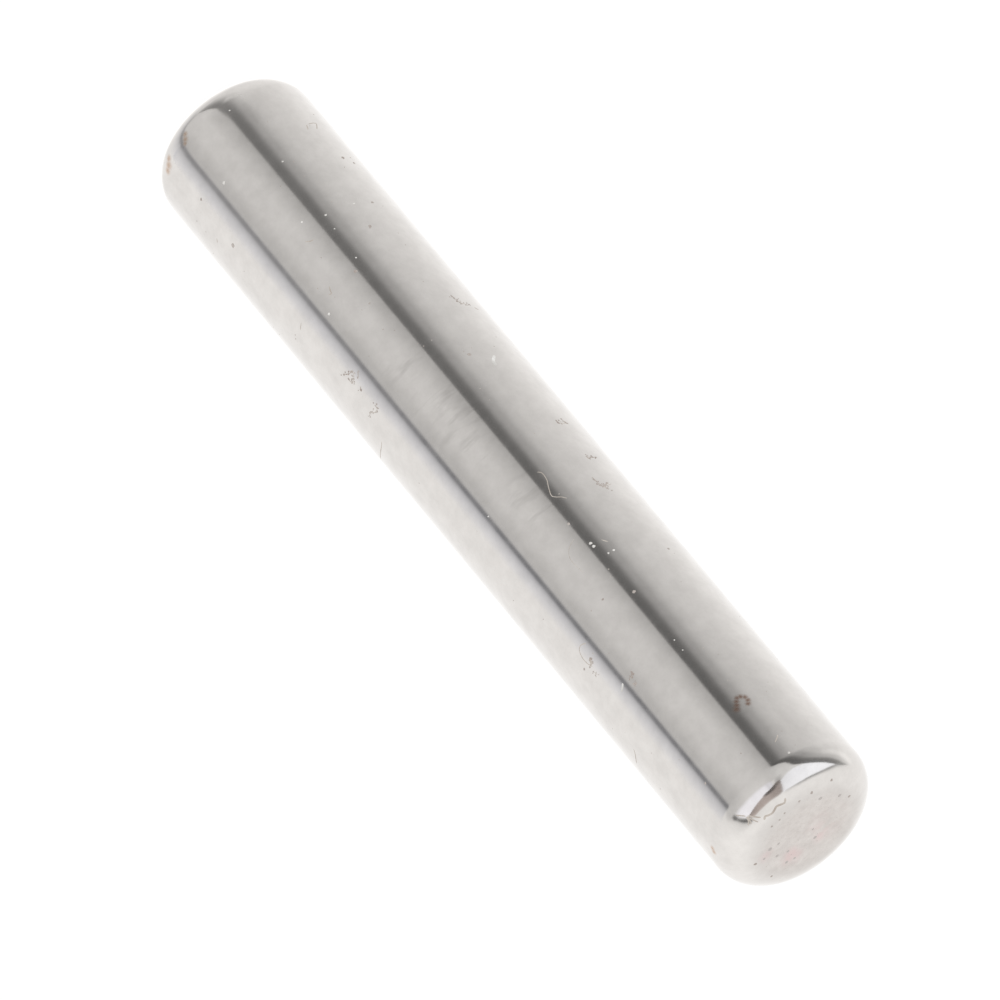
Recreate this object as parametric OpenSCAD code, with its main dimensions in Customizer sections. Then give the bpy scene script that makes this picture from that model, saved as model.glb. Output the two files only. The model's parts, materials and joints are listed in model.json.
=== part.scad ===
// Dowel pin: one piece of hardened steel rod, ground to diameter, faced flat
// at both ends and tumbled until the corners are rounded over.
// It stands on its lower end face, with its axis on +Z.

/* [Shank] */
// Diameter of the ground shank
pin_d = 5; // [3:0.5:20]
// Overall length, from end face to end face
pin_l = 30; // [8:1:120]

/* [Ends] */
// Radius that rounds the lower corner over into its end face
lower_round_r = 0.95; // [0.1:0.05:1.4]
// Radius that rounds the upper corner over into its end face
upper_round_r = 1; // [0.1:0.05:1.4]

/* [Hidden] */
$fn = 96;

pin_r = pin_d / 2;
steel = "#D9D8D4";

// Quarter disc that fills a rounded corner, with its flat sides towards the axis and the middle
module corner(round_r) {
    intersection() {
        circle(r = round_r);
        square(round_r);
    }
}

// Half of the section through the axis: X is the distance from the axis, Y is the height
module half_section() {
    lower_face_r = pin_r - lower_round_r;
    upper_face_r = pin_r - upper_round_r;

    // Full-width stretch between the two corners
    translate([0, lower_round_r])
        square([pin_r, pin_l - lower_round_r - upper_round_r]);

    // Stock under each flat end face
    square([lower_face_r, lower_round_r]);
    translate([0, pin_l - upper_round_r])
        square([upper_face_r, upper_round_r]);

    // Rounded corners
    translate([lower_face_r, lower_round_r])
        mirror([0, 1])
            corner(lower_round_r);
    translate([upper_face_r, pin_l - upper_round_r])
        corner(upper_round_r);
}

module pin() {
    color(steel)
        rotate_extrude()
            half_section();
}

pin();
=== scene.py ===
import json
import math
import random

import bmesh
import bpy
from mathutils import Matrix, Vector


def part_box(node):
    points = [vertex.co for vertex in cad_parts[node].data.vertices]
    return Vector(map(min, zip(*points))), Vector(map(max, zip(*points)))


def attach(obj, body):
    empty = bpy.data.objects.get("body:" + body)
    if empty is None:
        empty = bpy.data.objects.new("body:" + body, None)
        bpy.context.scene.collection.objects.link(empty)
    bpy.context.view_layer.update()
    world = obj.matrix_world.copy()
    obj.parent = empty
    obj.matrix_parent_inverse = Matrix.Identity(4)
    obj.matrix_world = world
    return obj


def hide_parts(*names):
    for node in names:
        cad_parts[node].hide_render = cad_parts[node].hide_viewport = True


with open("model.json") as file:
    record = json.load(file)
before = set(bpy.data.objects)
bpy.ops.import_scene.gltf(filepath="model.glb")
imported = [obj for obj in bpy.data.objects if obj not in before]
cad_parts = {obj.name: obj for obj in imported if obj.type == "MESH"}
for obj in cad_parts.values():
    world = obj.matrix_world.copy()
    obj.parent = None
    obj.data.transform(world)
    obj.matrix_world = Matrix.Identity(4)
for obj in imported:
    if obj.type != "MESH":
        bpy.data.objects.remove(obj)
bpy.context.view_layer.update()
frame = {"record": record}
scene = bpy.context.scene
scene.view_settings.view_transform = "Standard"


# ---------------------------------------------------------------------------------------------
# The camera: a long lens half a metre away, looking down at the pin that stands on its end.
# It is rolled far over, so that the standing pin lies across the picture from the top left
# to the bottom right, with its upper end face nearest.
# ---------------------------------------------------------------------------------------------
mm = 0.001
pin_low, pin_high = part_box("pin")
pin_length = pin_high.z - pin_low.z

look_down = math.radians(31.46)
roll = math.radians(140.26)
camera_distance = 491 * mm
aim_aside = 0.63 * mm
aim_above_middle = 0.37 * mm
aim = Vector((aim_aside, 0, pin_low.z + pin_length / 2 + aim_above_middle))
back = Vector((0, -math.cos(look_down), math.sin(look_down)))

lens = bpy.data.cameras.new("long_lens")
lens.lens = 631.4
lens.sensor_width = 36
lens.clip_start = 50 * mm
camera = bpy.data.objects.new("camera", lens)
camera.location = aim + back * camera_distance
camera.rotation_mode = "QUATERNION"
camera.rotation_quaternion = (
    (-back).to_track_quat("-Z", "Y") @ Matrix.Rotation(roll, 3, "Z").to_quaternion()
)
scene.collection.objects.link(camera)
scene.camera = camera


# ---------------------------------------------------------------------------------------------
# The pin: hardened steel rod, ground between wheels to its diameter, faced flat at both ends
# and tumbled until the corners are round and the whole skin is bright.
# It is turned here about its axis, from the sizes of the shank's mount and the CAD box.
# ---------------------------------------------------------------------------------------------
shank = next(m for m in frame["record"]["mounts"] if m["name"] == "shank")
pin_r = shank["dims"]["r_mm"] * mm
shank_length = shank["dims"]["length_mm"] * mm
shank_middle = shank["pos_m"][2]
lower_round = shank_middle - shank_length / 2 - pin_low.z
upper_round = pin_high.z - shank_middle - shank_length / 2
flat_r = pin_r - upper_round

# The stones wore the lower corner a little way up the shank: a hundredth of a millimetre deep
ease_top = 1.6 * mm
ease_slope = math.radians(2.5)

turn_steps = 192
corner_steps = 32
ease_steps = 12
shank_ring_gap = 1 * mm


def pin_section():
    """The half section as rows of (radius, height, normal out, normal up), bottom first."""
    join = lower_round * (1 - math.sin(ease_slope))
    steepness = math.tan(ease_slope) / (3 * (ease_top - join) ** 2)
    worn = steepness * (ease_top - join) ** 3 - lower_round * (1 - math.cos(ease_slope))
    rows = []
    for step in range(corner_steps):
        bend = -math.pi / 2 + (math.pi / 2 - ease_slope) * step / corner_steps
        out, up = math.cos(bend), math.sin(bend)
        radius = pin_r - worn - lower_round * (1 - out)
        rows.append((radius, pin_low.z + lower_round * (1 + up), out, up))
    for step in range(ease_steps):
        height = join + (ease_top - join) * step / ease_steps
        slope = 3 * steepness * (ease_top - height) ** 2
        radius = pin_r - steepness * (ease_top - height) ** 3
        rows.append((radius, pin_low.z + height, math.cos(slope), -math.sin(slope)))

    shank_top = pin_high.z - upper_round
    rings = round((shank_top - pin_low.z - ease_top) / shank_ring_gap)
    for k in range(rings):
        along = k / rings
        rows.append((pin_r, (pin_low.z + ease_top) * (1 - along) + shank_top * along, 1, 0))
    for step in range(corner_steps + 1):
        bend = math.pi / 2 * step / corner_steps
        out, up = math.cos(bend), math.sin(bend)
        rows.append((flat_r + upper_round * out, shank_top + upper_round * up, out, up))
    return rows


# Pits left in the upper face: (x, y, width) in millimetres. The coarse ones were picked by eye, and
# another script worked out their x and y.
coarse_pits = [
    (-1.36, -0.47, 0.12), (-0.90, -1.02, 0.13), (-0.20, 0.02, 0.08), (-0.10, 0.44, 0.12),
    (0.78, -0.58, 0.09), (0.72, 0.08, 0.09), (0.70, 0.60, 0.09), (1.06, -0.64, 0.14),
    (1.03, -0.11, 0.11), (0.94, 0.49, 0.11), (1.35, -0.44, 0.09),
]
fine_pits = 26
fine_pit_width = (0.015, 0.035)
pit_margin = 0.05
# The least distance between two pits' middles, as a share of their widths together
pit_spacing = 0.75
pit_steps = 12
# Each pit is a shallow bowl: the rings of its mesh as shares of its radius, and its depth as a
# share of its width
pit_rings = (1.0, 0.7, 0.35)
pit_depth_share = 0.12


def scatter_pits(clear_of):
    """Adds fine pits at random between the coarse ones, none touching another."""
    draw = random.Random(11)
    pits = list(clear_of)
    while len(pits) < len(clear_of) + fine_pits:
        reach = (flat_r / mm - pit_margin) * math.sqrt(draw.random())
        angle = draw.uniform(0, 2 * math.pi)
        x, y, width = reach * math.cos(angle), reach * math.sin(angle), draw.uniform(*fine_pit_width)
        if all(math.hypot(x - px, y - py) > (width + pw) * pit_spacing for px, py, pw in pits):
            pits.append((x, y, width))
    return pits


def turn_pin():
    """The pin's mesh, with the true normal of the turned form stored at every corner. Its first
    material is the skin and its second the pits."""
    bm = bmesh.new()
    normals = []

    def point(place, normal):
        normals.append(Vector(normal))
        return bm.verts.new(place)

    def ring(radius, height, out, up):
        made = []
        for step in range(turn_steps):
            turn = 2 * math.pi * step / turn_steps
            side = Vector((math.cos(turn), math.sin(turn), 0))
            made.append(point(side * radius + Vector((0, 0, height)), side * out + Vector((0, 0, up))))
        return made

    def band(low, high, material=0):
        for a in range(len(low)):
            b = (a + 1) % len(low)
            face = bm.faces.new((low[a], low[b], high[b], high[a]))
            face.smooth = True
            face.material_index = material

    rings = [ring(*row) for row in pin_section()]
    for low, high in zip(rings, rings[1:]):
        band(low, high)

    hub = point((0, 0, pin_low.z), (0, 0, -1))
    for a in range(turn_steps):
        bm.faces.new((hub, rings[0][(a + 1) % turn_steps], rings[0][a])).smooth = False

    outlines = [rings[-1]]
    bowls = []
    for x, y, width in scatter_pits(coarse_pits):
        radius, rows = width / 2 * mm, []
        for share in pit_rings:
            row = []
            for step in range(pit_steps):
                turn = -2 * math.pi * step / pit_steps
                side = Vector((math.cos(turn), math.sin(turn), 0))
                sink = -2 * radius * pit_depth_share * (1 - share * share)
                slope = 4 * pit_depth_share * share
                place = Vector((x * mm, y * mm, pin_high.z + sink)) + side * radius * share
                row.append(point(place, (Vector((0, 0, 1)) - side * slope).normalized()))
            rows.append(row)
        rows.append(point((x * mm, y * mm, pin_high.z - 2 * radius * pit_depth_share), (0, 0, 1)))
        outlines.append(rows[0])
        bowls.append(rows)

    bm.verts.index_update()
    edges = []
    for outline in outlines:
        for a, b in zip(outline, outline[1:] + outline[:1]):
            edges.append(bm.edges.get((a, b)) or bm.edges.new((a, b)))
    flat = bmesh.ops.triangle_fill(bm, edges=edges, use_beauty=True, normal=(0, 0, 1))
    for made in flat["geom"]:
        if isinstance(made, bmesh.types.BMFace):
            made.smooth = False
            if made.normal.z < 0:
                made.normal_flip()
    for rim, upper, lower, bottom in bowls:
        band(upper, rim, 1)
        band(lower, upper, 1)
        for a in range(pit_steps):
            face = bm.faces.new((bottom, lower[(a + 1) % pit_steps], lower[a]))
            face.smooth = True
            face.material_index = 1

    mesh = bpy.data.meshes.new("pin_turned")
    bm.to_mesh(mesh)
    bm.free()
    corner_normals = []
    for face in mesh.polygons:
        for corner in face.vertices:
            corner_normals.append(normals[corner] if face.use_smooth else face.normal)
    mesh.normals_split_custom_set(corner_normals)
    return mesh


def colour(code):
    """An sRGB hex value as a linear colour."""
    parts = [int(code[k : k + 2], 16) / 255 for k in (1, 3, 5)]
    return tuple(p / 12.92 if p <= 0.04045 else ((p + 0.055) / 1.055) ** 2.4 for p in parts) + (1,)


def add_node(tree, kind, links=(), values=(), **settings):
    """Adds a node with its settings, input values, and links given as (input, output socket)."""
    node = tree.nodes.new(kind)
    for name, value in settings.items():
        setattr(node, name, value)
    for name, value in dict(values).items():
        node.inputs[name].default_value = value
    for name, socket in dict(links).items():
        tree.links.new(socket, node.inputs[name])
    return node


def new_material(name):
    """An empty node material and its output node."""
    made = bpy.data.materials.new(name)
    made.use_nodes = True
    made.node_tree.nodes.clear()
    return made, made.node_tree.nodes.new("ShaderNodeOutputMaterial")


skin_rows = pin_section()[::-1]


def on_skin(down, turn):
    """The place and the outward normal on the skin, from millimetres down it from the edge of the
    upper face, and degrees of turn from the front towards +X."""
    left = down * mm
    for upper, lower in zip(skin_rows, skin_rows[1:]):
        run = math.hypot(lower[0] - upper[0], lower[1] - upper[1])
        if left <= run:
            break
        left -= run
    radius, height, out, up = (a + (b - a) * left / run for a, b in zip(upper, lower))
    side = Vector((math.sin(math.radians(turn)), -math.cos(math.radians(turn)), 0))
    return side * radius + Vector((0, 0, height)), (side * out + Vector((0, 0, up))).normalized()


# Rust bloom on the corners: (down the skin, turn, reach in millimetres)
rust_blooms = [
    (29.80, 20.5, 0.14), (29.68, 22.5, 0.15), (29.60, 24.5, 0.12), (29.85, 42.5, 0.18),
    (29.74, 46, 0.22), (29.70, 50, 0.18), (1.52, 65, 0.14), (1.46, 67, 0.14),
]
# A darker curl of rust on the shank, where a wet fibre lay: (down the skin, turn, reach)
rust_curl = [
    (3.64, -24.6, 0.13), (3.74, -26, 0.13), (3.87, -25.8, 0.13), (3.95, -23.6, 0.13),
    (3.96, -21.2, 0.13), (3.87, -19.3, 0.14), (3.76, -17.8, 0.16), (3.66, -16, 0.18),
]
# Temper tint on the upper face: (x, y, reach in millimetres)
temper_spots = [(-0.6, 0.2, 0.9), (0.7, 0.4, 0.6), (-0.2, 0.5, 0.4), (1.3, -0.5, 0.4)]
# Where the grinding rings were not tumbled away: (down the skin, turn, reach in millimetres)
ringed_patches = [
    (19.2, 8, 0.9), (17.5, 6, 1.1), (16.5, 4, 1.1), (15.6, 2, 0.9), (13.4, -1, 0.8), (12.4, -2, 0.8),
]


def patch(tree, place, spot, inner, outer):
    """A soft round patch: 1 within the inner reach of a spot, and 0 beyond the outer one."""
    away = add_node(
        tree, "ShaderNodeVectorMath", {0: place}, {1: spot}, operation="DISTANCE"
    ).outputs["Value"]
    return add_node(
        tree,
        "ShaderNodeMapRange",
        {"Value": away},
        {"From Min": inner, "From Max": outer, "To Min": 1, "To Max": 0},
        interpolation_type="SMOOTHSTEP",
    ).outputs["Result"]


def joined(patches, tree):
    """The greatest of several patches at each place."""
    most = patches[0]
    for spot in patches[1:]:
        most = add_node(tree, "ShaderNodeMath", {0: most, 1: spot}, operation="MAXIMUM").outputs[0]
    return most


def tumbled_steel():
    """Hardened steel, ground then tumbled: a mirror, very slightly clouded, with the last grinding
    rings as short darker lines, and a few brown rust blooms. The upper face is cloudier, in
    half-millimetre blotches with a faint pink temper tint."""
    made, output = new_material("tumbled_hardened_steel")
    tree = made.node_tree
    place = add_node(tree, "ShaderNodeTexCoord").outputs["Object"]

    # Grinding rings run round the pin, a quarter of a millimetre apart and about a millimetre long
    rings_place = add_node(
        tree,
        "ShaderNodeMapping",
        {"Vector": place},
        {
            "Rotation": (math.radians(2), 0, 0),
            "Scale": (1 / (0.9 * mm), 1 / (0.9 * mm), 1 / (0.25 * mm)),
        },
    ).outputs["Vector"]
    rings = add_node(
        tree, "ShaderNodeTexNoise", {"Vector": rings_place}, {"Scale": 1, "Detail": 2, "Roughness": 0.6}
    ).outputs["Fac"]
    lines = add_node(
        tree, "ShaderNodeMapRange", {"Value": rings}, {"From Min": 0.5, "From Max": 0.68}
    ).outputs["Result"]
    left = joined([
        patch(tree, place, on_skin(down, turn)[0], reach * mm * 0.3, reach * mm)
        for down, turn, reach in ringed_patches
    ], tree)
    ringed = add_node(tree, "ShaderNodeMath", {0: lines, 1: left}, operation="MULTIPLY").outputs[0]

    # Clouds from the tumbling stones, a third of a millimetre across, dull and dent the mirror
    clouds = add_node(
        tree, "ShaderNodeTexNoise", {"Vector": place}, {"Scale": 1 / (0.35 * mm), "Detail": 4}
    ).outputs["Fac"]
    # Its tone drifts over a little more than half a millimetre, broken up finely
    mottle = add_node(
        tree,
        "ShaderNodeTexNoise",
        {"Vector": place},
        {"Scale": 1 / (0.6 * mm), "Detail": 6, "Roughness": 0.7},
    ).outputs["Fac"]
    skin = add_node(
        tree, "ShaderNodeMapRange", {"Value": mottle}, {"From Min": 0.35, "From Max": 0.65}
    ).outputs["Result"]
    steel = add_node(
        tree,
        "ShaderNodeMix",
        {0: skin},
        {6: colour("#EBE7E3"), 7: colour("#E1DDD9")},
        data_type="RGBA",
    ).outputs[2]
    steel = add_node(
        tree, "ShaderNodeMix", {0: ringed, 6: steel}, {7: colour("#D7D3CF")}, data_type="RGBA"
    ).outputs[2]

    # The faced end: its blotches, broken up by speckle, then the temper tint in wider patches
    faced = patch(tree, place, (0, 0, pin_high.z), 1.1 * mm, 2.0 * mm)
    blotches = add_node(
        tree,
        "ShaderNodeTexNoise",
        {"Vector": place},
        {"Scale": 1 / (0.5 * mm), "Detail": 6, "Roughness": 0.75},
    ).outputs["Fac"]
    blotched = add_node(
        tree, "ShaderNodeMapRange", {"Value": blotches}, {"From Min": 0.35, "From Max": 0.65}
    ).outputs["Result"]
    face = add_node(
        tree,
        "ShaderNodeMix",
        {0: blotched},
        {6: colour("#EBE5E0"), 7: colour("#D9D2CD")},
        data_type="RGBA",
    ).outputs[2]
    temper = add_node(
        tree, "ShaderNodeTexNoise", {"Vector": place}, {"Scale": 1 / (0.8 * mm), "Detail": 5}
    ).outputs["Fac"]
    tempered = add_node(
        tree, "ShaderNodeMapRange", {"Value": temper}, {"From Min": 0.35, "From Max": 0.65}
    ).outputs["Result"]
    tint = joined([
        patch(tree, place, (x * mm, y * mm, pin_high.z), 0, reach * mm) for x, y, reach in temper_spots
    ], tree)
    tempered = add_node(
        tree, "ShaderNodeMath", {0: tempered, 1: tint}, operation="MULTIPLY"
    ).outputs[0]
    face = add_node(
        tree, "ShaderNodeMix", {0: tempered, 6: face}, {7: colour("#E8CFCD")}, data_type="RGBA"
    ).outputs[2]
    steel = add_node(
        tree, "ShaderNodeMix", {0: faced, 6: steel, 7: face}, data_type="RGBA"
    ).outputs[2]

    # Rust, its edges broken up at a twentieth of a millimetre. The noise is about a half all over,
    # so the shake moves every place by half of itself, and the spots of rust move with it.
    shake = 0.06 * mm
    ragged = add_node(
        tree, "ShaderNodeTexNoise", {"Vector": place}, {"Scale": 1 / (0.05 * mm), "Detail": 3}
    ).outputs["Color"]
    shaken = add_node(
        tree,
        "ShaderNodeVectorMath",
        {0: ragged, 2: place},
        {1: (shake, shake, shake)},
        operation="MULTIPLY_ADD",
    ).outputs["Vector"]
    shift = Vector((shake, shake, shake)) / 2
    rusted = []
    for blooms, brown in ((rust_blooms, "#CFB8A6"), (rust_curl, "#A98E80")):
        rust = joined([
            patch(tree, shaken, on_skin(down, turn)[0] + shift, 0, reach * mm)
            for down, turn, reach in blooms
        ], tree)
        rusted.append(rust)
        steel = add_node(
            tree, "ShaderNodeMix", {0: rust, 6: steel}, {7: colour(brown)}, data_type="RGBA"
        ).outputs[2]

    gloss = add_node(
        tree,
        "ShaderNodeMapRange",
        {"Value": clouds},
        {"From Min": 0.3, "From Max": 0.7, "To Min": 0.10, "To Max": 0.13},
    ).outputs["Result"]
    for rough, value in ((faced, 0.18), (joined(rusted, tree), 0.30)):
        gloss = add_node(
            tree, "ShaderNodeMapRange", {"Value": rough, "To Min": gloss}, {"To Max": value}
        ).outputs["Result"]
    grain = add_node(
        tree, "ShaderNodeBump", {"Height": clouds}, {"Strength": 1, "Distance": 0.0003 * mm}
    ).outputs["Normal"]
    shader = add_node(
        tree,
        "ShaderNodeBsdfPrincipled",
        {"Base Color": steel, "Roughness": gloss, "Normal": grain},
        {"Metallic": 1},
    )
    tree.links.new(shader.outputs[0], output.inputs["Surface"])
    return made


def pit_scale():
    """Dull grey-brown oxide left in the pits, where neither wheel nor stone reached."""
    made, output = new_material("oxide_in_pits")
    tree = made.node_tree
    place = add_node(tree, "ShaderNodeTexCoord").outputs["Object"]
    speckle = add_node(
        tree, "ShaderNodeTexNoise", {"Vector": place}, {"Scale": 1 / (0.03 * mm), "Detail": 2}
    ).outputs["Fac"]
    oxide = add_node(
        tree,
        "ShaderNodeMix",
        {0: speckle},
        {6: colour("#B0A9A5"), 7: colour("#CAC4C0")},
        data_type="RGBA",
    ).outputs[2]
    shader = add_node(
        tree, "ShaderNodeBsdfPrincipled", {"Base Color": oxide}, {"Roughness": 0.7}
    )
    tree.links.new(shader.outputs[0], output.inputs["Surface"])
    return made


pin = bpy.data.objects.new("pin_turned", turn_pin())
scene.collection.objects.link(pin)
pin.data.materials.append(tumbled_steel())
pin.data.materials.append(pit_scale())
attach(pin, "root")
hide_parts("pin")


# ---------------------------------------------------------------------------------------------
# Pale lint: two small tufts of bleached cotton that lie loose on the skin.
# Each is a low ribbon with a round back, pointed at both ends.
# ---------------------------------------------------------------------------------------------
# Each fibre as its width in millimetres and its way along the skin: (down the skin in
# millimetres, degrees of turn). The lint, dust, fibres and grime were picked by eye, and another
# script worked out most of these places.
lint_ways = [
    (0.09, [(17.93, -47.5), (17.81, -44.7), (17.68, -42.9), (17.55, -43.4)]),
    (0.07, [(6.78, 30.3), (6.71, 32.2), (6.65, 35.2)]),
]
fibre_rise = 0.006 * mm
# Steps from one point of a way to the next, and steps over which an end tapers off
fibre_steps = 8
taper_steps = 3
# A fibre's section: places across it as shares of half its width, then the height of its round
# back and the fall from there to its edges as shares of its rise. The edges end under the skin.
fibre_across = (-1, -0.6, 0, 0.6, 1)
back_height = 1.1
back_fall = 1.2


def curve(points, steps):
    """A smooth curve through points: lists of numbers, all of one length."""
    path = []
    spans = len(points) - 1
    for step in range(steps + 1):
        along = spans * step / steps
        k = min(int(along), spans - 1)
        t = along - k
        p0, p1 = points[max(k - 1, 0)], points[k]
        p2, p3 = points[k + 1], points[min(k + 2, spans)]
        path.append([
            b + 0.5 * t * (c - a + t * (2 * a - 5 * b + 4 * c - d + t * (3 * (b - c) + d - a)))
            for a, b, c, d in zip(p0, p1, p2, p3)
        ])
    return path


def lay_fibre(bm, way, width, rise):
    """Adds a fibre that lies along a way on the skin, its underside just sunk into the skin."""
    line = [on_skin(*spot) for spot in curve(way, fibre_steps * (len(way) - 1))]
    rows = []
    for n, (place, normal) in enumerate(line):
        onward = line[min(n + 1, len(line) - 1)][0] - line[max(n - 1, 0)][0]
        aside = onward.cross(normal).normalized()
        taper = min(1, (min(n, len(line) - 1 - n) + 0.5) / taper_steps)
        row = []
        for across in fibre_across:
            lift = rise * taper * (back_height - back_fall * across * across)
            row.append(bm.verts.new(place + aside * across * width / 2 * taper + normal * lift))
        rows.append(row)
    for a, b in zip(rows, rows[1:]):
        for k in range(len(a) - 1):
            bm.faces.new((a[k], a[k + 1], b[k + 1], b[k])).smooth = True


def soiling(name, bm, material):
    """Finishes a mesh of fibres or grains as one piece that lies on the pin."""
    mesh = bpy.data.meshes.new(name)
    bm.to_mesh(mesh)
    bm.free()
    mesh.materials.append(material)
    made = bpy.data.objects.new(name, mesh)
    scene.collection.objects.link(made)
    return made


def matt_soil(name, pale, dark, grain):
    """Dull, dry matter that varies between two colours over a given grain, in metres."""
    made, output = new_material(name)
    tree = made.node_tree
    place = add_node(tree, "ShaderNodeTexCoord").outputs["Object"]
    mottle = add_node(
        tree, "ShaderNodeTexNoise", {"Vector": place}, {"Scale": 1 / grain, "Detail": 3}
    ).outputs["Fac"]
    shade = add_node(
        tree, "ShaderNodeMapRange", {"Value": mottle}, {"From Min": 0.35, "From Max": 0.65}
    ).outputs["Result"]
    tone = add_node(
        tree, "ShaderNodeMix", {0: shade}, {6: colour(pale), 7: colour(dark)}, data_type="RGBA"
    ).outputs[2]
    nap = add_node(
        tree, "ShaderNodeBump", {"Height": mottle}, {"Strength": 0.5, "Distance": grain / 20}
    ).outputs["Normal"]
    shader = add_node(
        tree, "ShaderNodeBsdfPrincipled", {"Base Color": tone, "Normal": nap}, {"Roughness": 0.9}
    )
    tree.links.new(shader.outputs[0], output.inputs["Surface"])
    return made


bm = bmesh.new()
for width, way in lint_ways:
    lay_fibre(bm, way, width * mm, fibre_rise)
# Bleached cotton: off-white, greyer where it has picked up oil
lint = soiling("pale_lint", bm, matt_soil("bleached_cotton_lint", "#EFEEEB", "#C9C6C1", 0.3 * mm))
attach(lint, "root")


# ---------------------------------------------------------------------------------------------
# Pale dust: loose grains of paper and skin dust on the upper side of the pin.
# Each is a low lump with an uneven outline, standing about a seventh of its width off the skin.
# ---------------------------------------------------------------------------------------------
# (down the skin in millimetres, degrees of turn, width in millimetres)
dust_grains = [
    (10.74, -12.4, 0.11), (10.60, -12.7, 0.10), (10.16, -17.3, 0.07), (10.16, -21.3, 0.07),
    (24.62, -38.2, 0.08), (26.96, -17.7, 0.06), (24.65, -17.0, 0.07), (24.10, -15.6, 0.05),
    (22.89, -14.2, 0.06), (27.70, 21.2, 0.11), (22.11, 23.2, 0.09), (24.91, -1.9, 0.06),
    (13.68, 28.0, 0.06), (1.60, -24.5, 0.08), (29.38, -12.4, 0.05), (6.62, -13.9, 0.05),
    (6.20, -13.9, 0.05),
]
grain_sides = 9
grain_widths_to_rise = 7
# How far a corner of the outline may lie from the middle, in shares of half the width
grain_reach = (0.75, 1.2)
# The rings of the mesh, foot first: (share of the outline's reach, share of the rise)
grain_rings = ((1, -0.2), (0.8, 0.45), (0.45, 0.85))


def drop_grains(bm, grains, seed):
    """Adds a low uneven lump on the skin for each (down the skin, turn, width)."""
    draw = random.Random(seed)
    for down, turn, width in grains:
        place, normal = on_skin(down, turn)
        first = normal.orthogonal().normalized()
        second = normal.cross(first)
        rise = width * mm / grain_widths_to_rise
        reach = [draw.uniform(*grain_reach) for _ in range(grain_sides)]
        rings = []
        for share, lift in grain_rings:
            ring = []
            for side in range(grain_sides):
                bend = 2 * math.pi * side / grain_sides
                way = first * math.cos(bend) + second * math.sin(bend)
                far = width * mm / 2 * share * reach[side]
                ring.append(bm.verts.new(place + way * far + normal * rise * lift))
            rings.append(ring)
        crown = bm.verts.new(place + normal * rise)
        for side in range(grain_sides):
            after = (side + 1) % grain_sides
            for outer, inner in zip(rings, rings[1:]):
                bm.faces.new((outer[side], outer[after], inner[after], inner[side])).smooth = True
            bm.faces.new((rings[-1][side], rings[-1][after], crown)).smooth = True


bm = bmesh.new()
drop_grains(bm, dust_grains, seed=3)
# Paper and skin dust: almost white, with faint grey grain
dust = soiling("pale_dust", bm, matt_soil("paper_and_skin_dust", "#F4F2EE", "#D2CFCA", 0.08 * mm))
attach(dust, "root")


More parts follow.
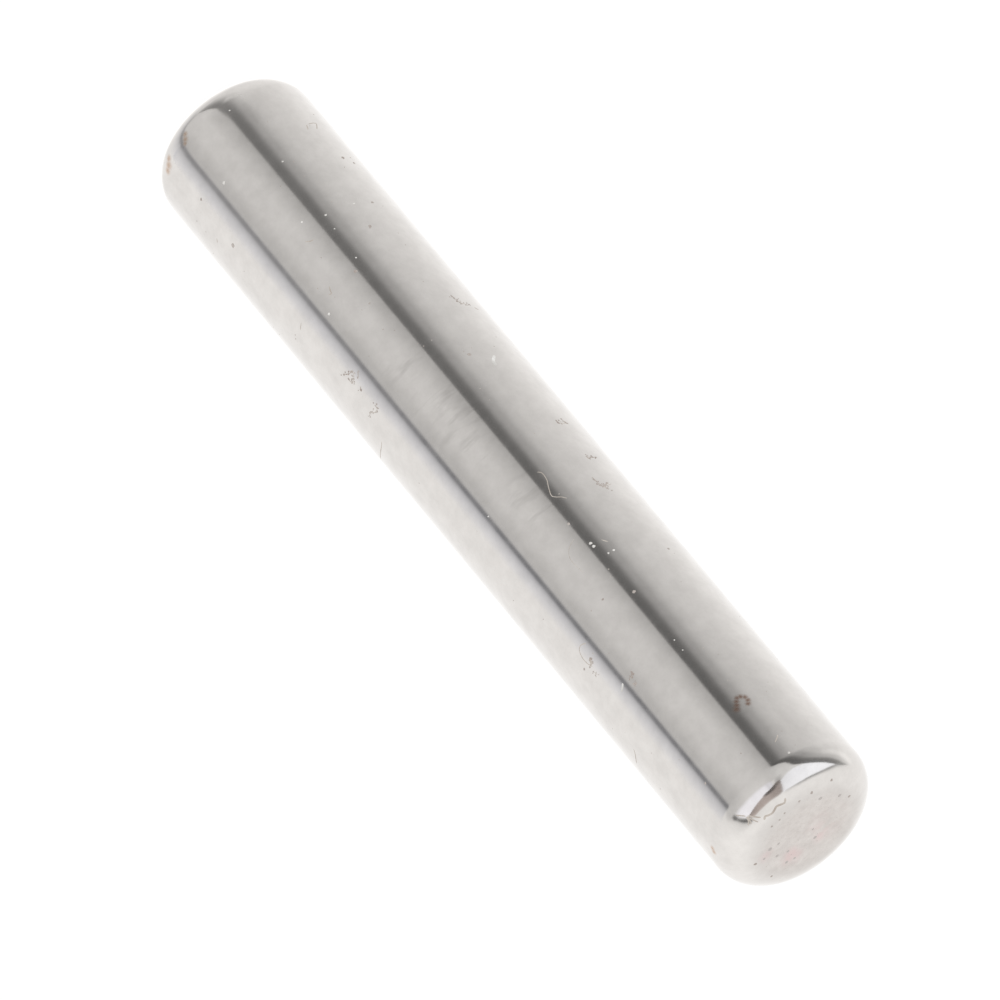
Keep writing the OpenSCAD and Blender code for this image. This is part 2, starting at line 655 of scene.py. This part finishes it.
# ---------------------------------------------------------------------------------------------
# Brown fibres: fine wood and jute fibres, curled up on the skin, one with a blot of dirt on it.
# They are the same low ribbons as the lint, and most are finer. One long one is pressed flat
# along the upper corner.
# ---------------------------------------------------------------------------------------------
# (width in millimetres, the way along the skin)
brown_ways = [
    (0.03, [(24.21, -0.6), (24.24, 2), (24.35, 4.6)]),
    (0.03, [(22.71, 11.1), (22.58, 12.4), (22.49, 13), (22.53, 15)]),
    (0.03, [(22.79, 44.3), (22.72, 49)]),
    (
        0.045,
        [
            (20.62, 45), (20.40, 40.6), (20.38, 37.3), (20.23, 38.1), (20.17, 40.6), (20.15, 43.2),
            (20.30, 44.1),
        ],
    ),
    (0.045, [(20.17, 34.2), (20.04, 36.5)]),
    (0.04, [(19.83, 39.8), (19.74, 42.3)]),
    (0.045, [(19.08, 40.6), (18.93, 41.4), (18.96, 45), (19.12, 47.8), (19.07, 51.7)]),
    (0.05, [(20.48, -52.8), (20.31, -53.8), (20.17, -54.9), (20.12, -57.2), (20.08, -61)]),
    (0.04, [(19.98, -65.3), (19.90, -68.6)]),
    (0.03, [(18.36, 58.4), (18.36, 65.3), (18.50, 81)]),
    (0.06, [(15.07, -52.3), (14.99, -54.4), (14.99, -60.4), (15.09, -59.1)]),
    (0.07, [(13.61, -54.3), (13.49, -53.2), (13.53, -56.6), (13.52, -61.6)]),
    (
        0.055,
        [
            (12.76, -44.4), (12.57, -44.8), (12.40, -46.2), (12.31, -48), (12.44, -51), (12.35, -53.1),
        ],
    ),
    (0.05, [(12.40, -46.2), (12.20, -49.5)]),
    (0.035, [(10.66, -19.3), (10.49, -22)]),
    (0.012, [(11.17, -6.2), (11.03, 0.1), (10.84, 3.3), (10.61, 4.3), (10.12, 3.3)]),
    (0.028, [(8.54, 32.2), (8.66, 36.1), (8.63, 39.7), (8.43, 41.8), (8.18, 41.8), (7.95, 40.1)]),
    (0.17, [(8.18, 36.9), (8.10, 38.4), (8.00, 39.9)]),
    (0.05, [(7.82, 41.8), (7.65, 41.3)]),
    (0.06, [(6.76, 20.2), (6.68, 21.5), (6.64, 23.6)]),
    (0.05, [(6.47, 23.6), (6.37, 22.9)]),
    (
        0.024,
        [
            (13.65, -15.4), (13.54, -17.4), (13.27, -17), (13.03, -14.7), (12.75, -12.7),
            (12.63, -14.4), (12.53, -17.3), (12.41, -19.4),
        ],
    ),
    (0.03, [(2.29, -26.6), (2.20, -24.5), (2.11, -21.8)]),
    (0.035, [(5.48, 61), (5.38, 65.2), (5.33, 72.3)]),
    (0.035, [(27.01, 55.6), (26.93, 58)]),
    (0.035, [(27.92, -51.3), (27.71, -49.2)]),
    (0.035, [(27.70, -56.8), (27.97, -60.6), (27.94, -53)]),
    (0.04, [(0.95, 23.9), (0.83, 22.5), (0.73, 21), (0.63, 19.4)]),
    (0.035, [(0.96, 24.7), (0.85, 24.7), (0.72, 24.2), (0.60, 23.7)]),
    (0.04, [(0.97, 25.4), (0.83, 26), (0.73, 27.8)]),
    (0.04, [(0.94, 25.5), (0.84, 27.1), (0.78, 30.1)]),
    (0.035, [(0.99, 25.2), (1.09, 26.8), (1.23, 29.1)]),
]
# From this width up, half of it is the fibre and the rest is dirt that clings to it
coarse_fibre = 0.045
bare_share = 0.5
pressed_width = 0.065
pressed_rise = 0.004 * mm
pressed_way = [
    (0.55, -4.5), (0.45, -2.2), (0.47, 1), (0.52, 4.9), (0.48, 8.2), (0.46, 11.6), (0.50, 14.6),
    (0.55, 16.8), (0.50, 19.6),
]

bm = bmesh.new()
for width, way in brown_ways:
    lay_fibre(bm, way, width * mm * (bare_share if width >= coarse_fibre else 1), fibre_rise)
lay_fibre(bm, pressed_way, pressed_width * mm, pressed_rise)
# Wood and jute fibre: pale straw brown, darker in its dirty stretches
brown = soiling("brown_fibres", bm, matt_soil("wood_and_jute_fibre", "#CDC5BC", "#B3A89E", 0.3 * mm))
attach(brown, "root")


# ---------------------------------------------------------------------------------------------
# Grime: grains of rust dust and old grease on the shank and round the edge of the face, and
# finer ones along the coarse fibres. Like the dust they are low lumps, but the grease holds them.
# ---------------------------------------------------------------------------------------------
# (down the skin in millimetres, degrees of turn, width in millimetres)
grime_grains = [
    (26.46, -59.1, 0.12), (26.27, -66.3, 0.09), (24.52, -52.0, 0.10), (23.66, -36.5, 0.11),
    (28.08, 42.7, 0.09), (26.29, 47.2, 0.14), (19.76, 41.5, 0.10), (18.22, -31.6, 0.13),
    (9.06, 4.6, 0.08), (9.65, -57.3, 0.09), (8.18, 47.1, 0.09), (22.53, -8.3, 0.13),
    (11.67, -9.5, 0.09), (2.62, 30.6, 0.08), (21.39, -1.9, 0.07), (8.65, -14.0, 0.12),
    (0.43, -49.4, 0.09), (0.05, -86.7, 0.09), (0.16, -14.0, 0.08), (0.22, -28.2, 0.10),
    (0.14, 4.2, 0.07), (0.08, 12.4, 0.08), (0.14, 22.2, 0.08), (0.11, 110.8, 0.08),
    (0.21, 73.4, 0.10), (6.70, 21.0, 0.09), (6.42, 23.3, 0.09), (15.00, -53.4, 0.09),
    (13.55, -57.5, 0.10), (12.40, -45.9, 0.08),
]

# Finer grains cling along the coarse fibres, and stray from them by so many millimetres down the
# skin and degrees of turn
clinging_per_bend = 5
clinging_stray = (0.04, 1.2)
clinging_width = (0.03, 0.075)
# Specks of the same dirt lie all over the front
speck_count = 70
speck_down = (1.5, 28.5)
speck_turn = (-80, 80)
speck_width = (0.025, 0.045)

draw = random.Random(21)
clinging_grains = []
for width, way in brown_ways:
    if width >= coarse_fibre:
        for down, turn in curve(way, clinging_per_bend * (len(way) - 1)):
            spot = (down + draw.gauss(0, clinging_stray[0]), turn + draw.gauss(0, clinging_stray[1]))
            clinging_grains.append((*spot, draw.uniform(*clinging_width)))
specks = []
for _ in range(speck_count):
    spot = (draw.uniform(*speck_down), draw.uniform(*speck_turn))
    specks.append((*spot, draw.uniform(*speck_width)))

bm = bmesh.new()
drop_grains(bm, grime_grains, seed=8)
drop_grains(bm, clinging_grains, seed=9)
drop_grains(bm, specks, seed=10)
# Rust dust in old grease: grey-brown, darker in places
grime = soiling("grime", bm, matt_soil("rust_dust_in_grease", "#C3BCB6", "#A79B94", 0.3 * mm))
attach(grime, "root")


# ---------------------------------------------------------------------------------------------
# The studio: a pale floor under an even white sky, and round it, seen only in the steel, a light
# tent with a grey wall, two soft boxes and black felt between them, each a sheet of lit cloth.
# ---------------------------------------------------------------------------------------------
def stage_object(name, mesh, material):
    made = bpy.data.objects.new(name, mesh)
    scene.collection.objects.link(made)
    mesh.materials.append(material)
    return made


def painted_board():
    """Matt white board. Nine tenths of what the camera sees of it is plain white, and the last
    tenth keeps its shading."""
    white_share = 0.9
    white_strength = 1.06
    made, output = new_material("matt_painted_board")
    tree = made.node_tree
    paint = add_node(tree, "ShaderNodeBsdfDiffuse", {}, {"Color": colour("#F6F6F6")})
    white = add_node(tree, "ShaderNodeEmission", {}, {"Color": (1, 1, 1, 1), "Strength": white_strength})
    seen = add_node(tree, "ShaderNodeLightPath").outputs["Is Camera Ray"]
    lift = add_node(tree, "ShaderNodeMath", {0: seen}, {1: white_share}, operation="MULTIPLY")
    both = add_node(
        tree, "ShaderNodeMixShader", {0: lift.outputs[0], 1: paint.outputs[0], 2: white.outputs[0]}
    )
    tree.links.new(both.outputs[0], output.inputs["Surface"])
    return made


floor_half = 600 * mm
floor_mesh = bpy.data.meshes.new("floor")
floor_mesh.from_pydata(
    [(x * floor_half, y * floor_half, pin_low.z) for x, y in ((-1, -1), (1, -1), (1, 1), (-1, 1))],
    [],
    [(0, 1, 2, 3)],
)
floor = stage_object("floor", floor_mesh, painted_board())
floor.visible_glossy = False

world = bpy.data.worlds.new("white_sky")
world.use_nodes = True
world.node_tree.nodes["Background"].inputs["Color"].default_value = (1, 1, 1, 1)
world.node_tree.nodes["Background"].inputs["Strength"].default_value = 1
scene.world = world


def lit_cloth():
    """Lit cloth or felt: each sheet gives off the light stored in it, and thins out at its edges."""
    made, output = new_material("lit_tent_cloth")
    tree = made.node_tree
    stored = add_node(tree, "ShaderNodeVertexColor", layer_name="glow")
    glow = add_node(tree, "ShaderNodeEmission", {"Color": stored.outputs["Color"]})
    clear = add_node(tree, "ShaderNodeBsdfTransparent")
    sheet = add_node(
        tree, "ShaderNodeMixShader", {0: stored.outputs["Alpha"], 1: clear.outputs[0], 2: glow.outputs[0]}
    )
    tree.links.new(sheet.outputs[0], output.inputs["Surface"])
    made.cycles.emission_sampling = "NONE"
    return made


cloth_material = lit_cloth()
tent_centre = Vector((0, 0, pin_low.z + pin_length / 2))
tent_radius = 1000 * mm
tent_step = 3
sheet_gap = 10 * mm
sheets = []


def direction(azimuth, elevation):
    """Degrees round from the camera's side towards +X, and up from level, as a direction."""
    a, e = math.radians(azimuth), math.radians(elevation)
    return Vector((math.sin(a) * math.cos(e), -math.cos(a) * math.cos(e), math.sin(e)))


def between(stops, place):
    """The values at a place along a row of stops, each (place, value, value, ...)."""
    for first, second in zip(stops, stops[1:]):
        if place <= second[0] or second is stops[-1]:
            t = (place - first[0]) / (second[0] - first[0])
            return [a + (b - a) * t for a, b in zip(first[1:], second[1:])]


def hang(name, rows, tint):
    """Hangs a sheet in the tent, in front of the sheets before it, from rows of (direction,
    brightness, cover). Only mirror-bright metal sees it."""
    radius = tent_radius - sheet_gap * len(sheets)
    wide = len(rows[0])
    faces = []
    for row in range(len(rows) - 1):
        for n in range(row * wide, row * wide + wide - 1):
            faces.append((n, n + 1, n + wide + 1, n + wide))
    mesh = bpy.data.meshes.new(name)
    mesh.from_pydata([tent_centre + spot[0] * radius for row in rows for spot in row], [], faces)
    store = mesh.color_attributes.new("glow", "FLOAT_COLOR", "POINT")
    shade = colour(tint)
    for n, (_, brightness, cover) in enumerate(spot for row in rows for spot in row):
        store.data[n].color = (*[c * brightness for c in shade[:3]], min(max(cover, 0), 1))
    sheet = stage_object(name, mesh, cloth_material)
    sheet.visible_camera = sheet.visible_diffuse = sheet.visible_shadow = False
    sheet.visible_transmission = sheet.visible_volume_scatter = False
    sheets.append(sheet)


def tent(name, heights, columns, tint):
    """The cloth all round, from columns of (azimuth, brightness at each height)."""
    rows = []
    for azimuth in range(-180, 180 + tent_step, tent_step):
        stops = list(zip(heights, between(columns, azimuth)))
        row = []
        for elevation in range(-90, 90 + tent_step, tent_step):
            row.append((direction(azimuth, elevation), *between(stops, elevation), 1))
        rows.append(row)
    hang(name, rows, tint)


def panel(name, left, right, stops, tint="#FFFFFF", steps=96, across=32):
    """A sheet between two edges of (azimuth, elevation, brightness, cover if not 1), with stops
    across it of (share of the way from left to right, brightness times, cover times)."""
    rows = []
    edges = [[(*point, 1)[:4] for point in edge] for edge in (left, right)]
    for a, b in zip(curve(edges[0], steps), curve(edges[1], steps)):
        from_left, from_right = direction(*a[:2]), direction(*b[:2])
        row = []
        for k in range(across + 1):
            share = k / across
            way = (from_left * (1 - share) + from_right * share).normalized()
            brightness, cover = (x + (y - x) * share for x, y in zip(a[2:], b[2:]))
            times, hold = between(stops, share)
            row.append((way, brightness * times, cover * hold))
        rows.append(row)
    hang(name, rows, tint)


def strip(name, path, stops, tint="#FFFFFF", steps=160, across=24):
    """A sheet along a path of (azimuth, elevation, cover, width), with stops across it of (degrees
    to the right of the path, brightness, cover)."""
    points = [(*direction(*spot[:2]), *spot[2:]) for spot in path]
    line = curve(points, steps)
    ways = [Vector(spot[:3]).normalized() for spot in line]
    rows = []
    for n, (*_, cover, width) in enumerate(line):
        onward = ways[min(n + 1, steps)] - ways[max(n - 1, 0)]
        aside = onward.cross(ways[n]).normalized()
        row = []
        for k in range(across + 1):
            degrees = stops[0][0] + (stops[-1][0] - stops[0][0]) * k / across
            turn = math.radians(degrees * width)
            brightness, hold = between(stops, degrees)
            row.append((ways[n] * math.cos(turn) + aside * math.sin(turn), brightness, hold * cover))
        rows.append(row)
    hang(name, rows, tint)


# White cloth, brightest low down behind the pin, where it curves under it
tent(
    "tent_cloth",
    (-90, -75, -55, -40, -30, -5, 20, 40, 65, 90),
    [
        (-180, 0.75, 0.95, 1.30, 1.30, 1.15, 1.05, 0.90, 0.84, 0.87, 0.95),
        (-160, 0.75, 0.94, 1.20, 1.22, 1.08, 1.03, 0.95, 0.92, 0.90, 0.95),
        (-140, 0.75, 0.87, 0.96, 1.03, 1.00, 1.00, 0.98, 0.95, 0.92, 0.95),
        (-120, 0.75, 0.83, 0.92, 0.96, 0.91, 0.92, 0.90, 0.96, 0.96, 0.95),
        (-100, 0.75, 0.81, 0.92, 0.88, 0.79, 0.76, 0.90, 0.97, 0.97, 0.95),
        (-80, 0.76, 0.79, 0.86, 0.83, 0.70, 0.70, 0.90, 0.97, 0.97, 0.95),
        (-60, 0.76, 0.76, 0.77, 0.73, 0.67, 0.70, 0.90, 0.97, 0.97, 0.95),
        (0, 0.75, 0.70, 0.70, 0.70, 0.70, 0.75, 0.80, 0.90, 0.95, 0.95),
        (65, 0.75, 0.68, 0.76, 0.82, 0.86, 0.89, 0.87, 0.83, 0.90, 0.95),
        (80, 0.75, 0.66, 0.90, 0.94, 0.92, 0.94, 0.98, 0.98, 0.97, 0.95),
        (100, 0.75, 0.74, 0.96, 0.95, 0.94, 0.98, 1.01, 1.01, 0.99, 0.95),
        (120, 0.75, 0.81, 0.94, 0.94, 0.95, 0.98, 1.01, 1.01, 0.98, 0.95),
        (140, 0.75, 0.85, 0.93, 0.95, 0.99, 1.01, 1.00, 0.98, 0.94, 0.95),
        (160, 0.75, 0.92, 1.08, 1.12, 1.05, 1.05, 0.97, 0.93, 0.90, 0.95),
        (180, 0.75, 0.95, 1.30, 1.30, 1.15, 1.05, 0.90, 0.84, 0.87, 0.95),
    ],
    "#FFFFFF",
)

# Soft box to the left, above the pin
panel(
    "left_soft_box",
    [
        (-112, 22, 1.22), (-105, 24, 1.24), (-95, 25, 1.24), (-85, 25, 1.24), (-75, 23, 1.22),
        (-65, 20, 1.18), (-55, 16, 1.12), (-48, 15, 1.08), (-42, 15.5, 1.06), (-36, 17, 1.05),
        (-30, 20, 1.03), (-24, 25, 1.00), (-18, 30, 0.98),
    ],
    [
        (-112, 25, 1.16), (-105, 33, 1.16), (-98, 41, 1.16), (-91, 47.5, 1.16), (-84, 52, 1.17),
        (-77, 56, 1.17), (-69, 59.5, 1.17), (-61, 62.3, 1.17), (-52, 64, 1.15), (-43, 65.3, 1.13),
        (-35, 66, 1.11), (-26, 66.7, 1.09), (-18, 67, 1.06),
    ],
    [(0, 1, 1), (1, 1, 1)],
    "#F6F9FF",
)

# Grey wall in front of the pin, up to the foot of the right-hand soft box
panel(
    "grey_wall",
    [
        (28, -80, 0.64), (10, -74.5, 0.68), (0, -69, 0.69), (-7, -63, 0.70), (-12, -57, 0.70),
        (-16, -50, 0.70), (-19, -43, 0.68), (-20.5, -37, 0.66), (-21, -33, 0.57), (-21.5, -29, 0.49),
        (-22, -20, 0.58), (-20, -10, 0.62), (-18, 2, 0.66), (-16, 16, 0.66),
    ],
    [
        (60, -80, 0.66), (68, -74.5, 0.66), (67, -69, 0.67), (64, -63, 0.67), (60, -57, 0.66),
        (57, -50, 0.65), (55, -43, 0.63), (55.5, -37, 0.60), (57, -33, 0.59), (58, -29, 0.59),
        (57, -20, 0.60), (57, -10, 0.62), (57, 2, 0.68), (57, 16, 0.72),
    ],
    [(0, 1, 1), (1, 1, 1)],
)
panel(
    "grey_wall_middle",
    [
        (20, -76, 0.70), (0, -66, 0.72), (-9, -57, 0.73), (-13, -48, 0.73), (-15, -40, 0.72),
        (-15, -33, 0.70), (-15, -20, 0.72), (-14, -8, 0.74), (-12, 4, 0.75), (-10, 14, 0.76),
    ],
    [
        (60, -76, 0.68), (56, -66, 0.69), (50, -57, 0.69), (47, -48, 0.69), (46, -40, 0.69),
        (46, -33, 0.70), (46, -20, 0.71), (46, -8, 0.73), (46, 4, 0.77), (48, 14, 0.80),
    ],
    [(0, 1, 0), (0.38, 1, 1), (0.70, 1, 1), (1, 1, 0)],
)

# The wall's return on its right, where it turns away from the pin
panel(
    "wall_return",
    [
        (53, -28, 0.60), (53, -22, 0.62), (53, -16, 0.63), (53, -8, 0.64), (53, 0, 0.62), (53, 5, 0.60),
    ],
    [
        (60, -28, 0.62), (66, -22, 0.64), (69, -16, 0.66), (69, -8, 0.66), (67, 0, 0.64), (62, 5, 0.60),
    ],
    [(0, 1, 0.5), (0.3, 1, 1), (0.5, 1, 1), (1, 1, 0)],
)

# Fold of the tent between the wall and the left-hand soft box, darkest at its foot
panel(
    "tent_fold",
    [
        (-24, -21.5, 0.46), (-28, -19, 0.50), (-32.5, -15.8, 0.60), (-35.5, -12, 0.66),
        (-37.5, -6.5, 0.70), (-39.5, -1, 0.74), (-42, 4, 0.77), (-46, 9, 0.79), (-52, 13.5, 0.80),
        (-55, 17.3, 0.80), (-46, 17.5, 0.80), (-40, 18, 0.80), (-35, 19.5, 0.80), (-30, 22, 0.79),
        (-25.5, 25.5, 0.75), (-21.5, 29, 0.70), (-18, 32, 0.64),
    ],
    [
        (-12, -20, 0.62), (-11, -18, 0.62), (-11, -15, 0.63), (-11, -11, 0.64), (-11, -6, 0.65),
        (-11, -2, 0.66), (-11, 2, 0.67), (-11, 5, 0.68), (-11, 8, 0.69), (-11, 11, 0.70),
        (-10, 13, 0.70), (-10, 15, 0.68), (-10, 17, 0.66), (-10, 20, 0.64), (-10, 24, 0.60),
        (-10, 28, 0.55), (-10, 32, 0.50),
    ],
    [(0, 1, 1), (0.8, 1, 1), (1, 1, 0)],
    "#FEFFFF",
)
# Shade that the camera casts on the fold
strip(
    "camera_shade",
    [(-15, 30, 1, 1), (-15, 26, 1, 1), (-16, 21, 0.8, 1), (-17, 16, 0.4, 1), (-17, 12, 0, 1)],
    [(-7, 0.75, 0), (-3, 0.52, 1), (3, 0.52, 1), (7, 0.72, 0)],
)

# Black felt to the left of the wall and under the left-hand soft box: sharp on its right and
# upper edge, and fading to the left and below, where it curves away into the light
strip(
    "felt_foot",
    [
        (40, -82.5, 0, 0.8), (28, -80, 0.35, 0.8), (14, -75, 0.65, 0.8), (5, -70, 0.8, 0.8),
        (-3, -64, 0.9, 0.9), (-7.5, -58, 0.95, 1), (-10.3, -52, 1, 1), (-12.3, -46, 1, 1),
        (-13.7, -41, 1, 1), (-14.2, -37.3, 1, 1), (-16.5, -35, 1, 1), (-19.2, -33.3, 1, 1),
        (-19.5, -30, 1, 1),
    ],
    [
        (-30, 0.75, 0), (-24, 0.69, 1), (-19, 0.60, 1), (-16, 0.51, 1), (-13, 0.42, 1),
        (-10, 0.33, 1), (-7, 0.27, 1), (-3, 0.25, 1), (0, 0.25, 1),
    ],
    across=48,
)
panel(
    "black_felt",
    [
        (-68, -39.5, 1, 0), (-70, -37, 1, 0), (-71, -34.8, 1, 0.1), (-72, -33.2, 1), (-73, -32, 1),
        (-74, -30.5, 1), (-74.5, -29.5, 1), (-76, -28.5, 0.96), (-79, -27.5, 0.93), (-82, -26, 0.9),
        (-84, -24.5, 0.9), (-86, -23, 0.9), (-88, -21, 0.9), (-90, -19, 0.9), (-92, -17, 0.93),
        (-94, -15.5, 1.0), (-97, -14, 1.1), (-103, -14, 1.22), (-112, -12, 1.32), (-120, -8, 1.4),
        (-128, 0, 1.4, 0.8), (-134, 8, 1.4, 0),
    ],
    [
        (-18.8, -36.5, 1, 0), (-19.4, -33.5, 1, 0.4), (-19.5, -31, 1), (-18.8, -28.5, 0.8),
        (-18.5, -25.5, 0.75), (-19, -22.3, 0.7), (-21.5, -20, 0.7), (-25.5, -18, 0.7),
        (-30, -14.8, 0.75), (-33.8, -10.7, 0.8), (-36, -5.5, 0.8), (-37.8, -0.5, 0.8),
        (-39.4, 4.5, 0.8), (-42, 9, 0.85), (-47.5, 13.2, 0.95), (-56, 17.5, 1.1), (-65, 21, 1.2),
        (-76, 23.7, 1.3), (-88, 25.3, 1.4), (-99, 26.3, 1.6), (-108, 26, 1.8), (-116, 22, 1.8),
    ],
    [
        (0, 0.73, 0), (0.12, 0.71, 0.5), (0.2, 0.69, 1), (0.28, 0.68, 1), (0.34, 0.65, 1),
        (0.39, 0.61, 1), (0.45, 0.54, 1), (0.5, 0.48, 1), (0.56, 0.46, 1), (0.61, 0.43, 1),
        (0.66, 0.35, 1), (0.7, 0.265, 1), (0.745, 0.21, 1), (0.79, 0.18, 1), (0.86, 0.165, 1),
        (0.93, 0.15, 1), (1, 0.14, 1),
    ],
    steps=160,
    across=60,
)

# Felt edge on the wall's right side, with the tent's shade beyond it
strip(
    "felt_edge",
    [
        (40, -81, 0.2, 1), (66, -77, 0.3, 1), (71.5, -71, 0.45, 1), (67, -65, 0.6, 1),
        (62.5, -59, 0.7, 1), (59.5, -52, 0.72, 1), (56.5, -46, 0.75, 1), (54.8, -41, 0.78, 1),
        (55.5, -38, 0.8, 1), (57.2, -33, 0.8, 1), (58.2, -30, 1, 1), (58.5, -26, 0.5, 1),
        (58.5, -22, 0, 1),
    ],
    [
        (-4, 0.45, 0), (-1.8, 0.20, 1), (1.8, 0.20, 1), (4, 0.46, 0.8), (8, 0.64, 0.7),
        (14, 0.77, 0.5), (22, 0.84, 0),
    ],
    "#F2F5FF",
    across=52,
)

# Rim of the left-hand soft box, its shade falling outside it
strip(
    "left_box_rim",
    [
        (-120, 14, 0, 1), (-112, 22, 0.6, 1), (-107, 26.5, 0.8, 1), (-102, 32, 1, 1),
        (-96, 40, 1, 1), (-90, 46, 1, 1), (-84, 50.5, 1, 1), (-78, 54, 1, 1),
        (-72, 57.2, 1, 1), (-67, 60, 0.9, 1), (-62, 62, 0.8, 1), (-56, 63.3, 0.75, 1),
        (-50, 64.5, 0.6, 1), (-44, 65.5, 0.5, 1), (-38, 66, 0.45, 1), (-32, 66.5, 0.35, 1),
        (-26, 67, 0.3, 1), (-20, 67.5, 0, 1),
    ],
    [(-10, 0.92, 0), (-6, 0.80, 0.6), (-3, 0.60, 1), (-1, 0.38, 1), (1, 0.38, 1), (3, 0.7, 0)],
)

# Soft box to the right, its near end greyer, its foot fading into the wall
panel(
    "right_soft_box",
    [
        (-8, 15, 0.75, 0), (-5, 13, 0.84), (-3, 12, 0.92), (-1, 11, 0.82), (1, 10.5, 0.85),
        (3, 10, 1.02), (8, 8.5, 1.03), (18, 6.5, 1.05), (30, 4.5, 1.08), (42, 2, 1.08), (53, 0, 1.04),
    ],
    [
        (-8, 31, 0.75, 0), (-5, 31.5, 0.84), (-3, 32, 0.92), (-1, 33, 0.80), (1, 34, 0.84),
        (3, 35, 1.02), (8, 37.5, 1.06), (18, 38.5, 1.08), (30, 39.5, 1.10), (42, 41.5, 1.15),
        (53.5, 44, 1.20),
    ],
    [(0, 1, 0), (0.12, 1, 0.5), (0.28, 1, 1), (1, 1, 1)],
    "#F7F8FF",
)

# The camera and whoever holds it, between and above the soft boxes
panel(
    "camera_side",
    [
        (-18, 27.5, 0.34), (-12, 28, 0.36), (-8, 30, 0.37), (-4, 32, 0.37), (0, 34, 0.37),
        (6, 34.5, 0.42), (11, 34.5, 0.45), (15, 36.5, 0.47), (20, 37.5, 0.47), (30, 38, 0.47),
        (36, 38.7, 0.43), (42, 39.3, 0.34), (48, 39.5, 0.34), (54, 40, 0.32),
    ],
    [
        (-18, 66.5, 0.38), (-12, 68.5, 0.40), (-8, 68.5, 0.42), (-4, 68.5, 0.43), (0, 68, 0.44),
        (6, 66, 0.48), (11, 64.5, 0.52), (14, 64, 0.53), (20, 63, 0.55), (30, 61, 0.56),
        (36, 59.5, 0.58), (42, 58, 0.60), (48, 56.5, 0.64), (54, 54.5, 0.72),
    ],
    [(0, 1, 1), (0.85, 1, 1), (1, 1, 0)],
    "#FFF1EC",
)
panel(
    "camera_lens",
    [
        (-18, 27.5, 0.25), (-12, 28, 0.25), (-8, 30, 0.19), (-4, 32, 0.15), (0, 34, 0.13),
        (6, 34.5, 0.13), (11, 34.5, 0.18), (14, 35, 0.27, 0),
    ],
    [
        (-18, 43, 0.25), (-12, 44.5, 0.25), (-8, 46, 0.19), (-4, 47, 0.15), (0, 47, 0.14),
        (6, 46, 0.14), (11, 44, 0.22), (13, 43, 0.27, 0),
    ],
    [(0, 1, 1), (0.55, 1, 1), (1, 2.2, 0)],
    "#FFF3EE",
)

# Black tape down the right-hand soft box's outer edge
strip(
    "box_tape",
    [
        (57, -2, 0, 1), (57.5, 4, 0.7, 1.2), (58, 9, 0.95, 1.2), (58, 18, 0.8, 1),
        (58.3, 28, 0.95, 1.1), (58.8, 36, 1, 1.2), (59.3, 42, 1, 1.2), (60.5, 47, 1, 1.1),
        (63.5, 51, 0.9, 1), (66, 54, 0.5, 1), (67, 57, 0, 1),
    ],
    [(-3.5, 0.3, 0), (-1.5, 0.1, 1), (1.5, 0.1, 1), (3.5, 0.5, 0.3), (9, 0.75, 0)],
)
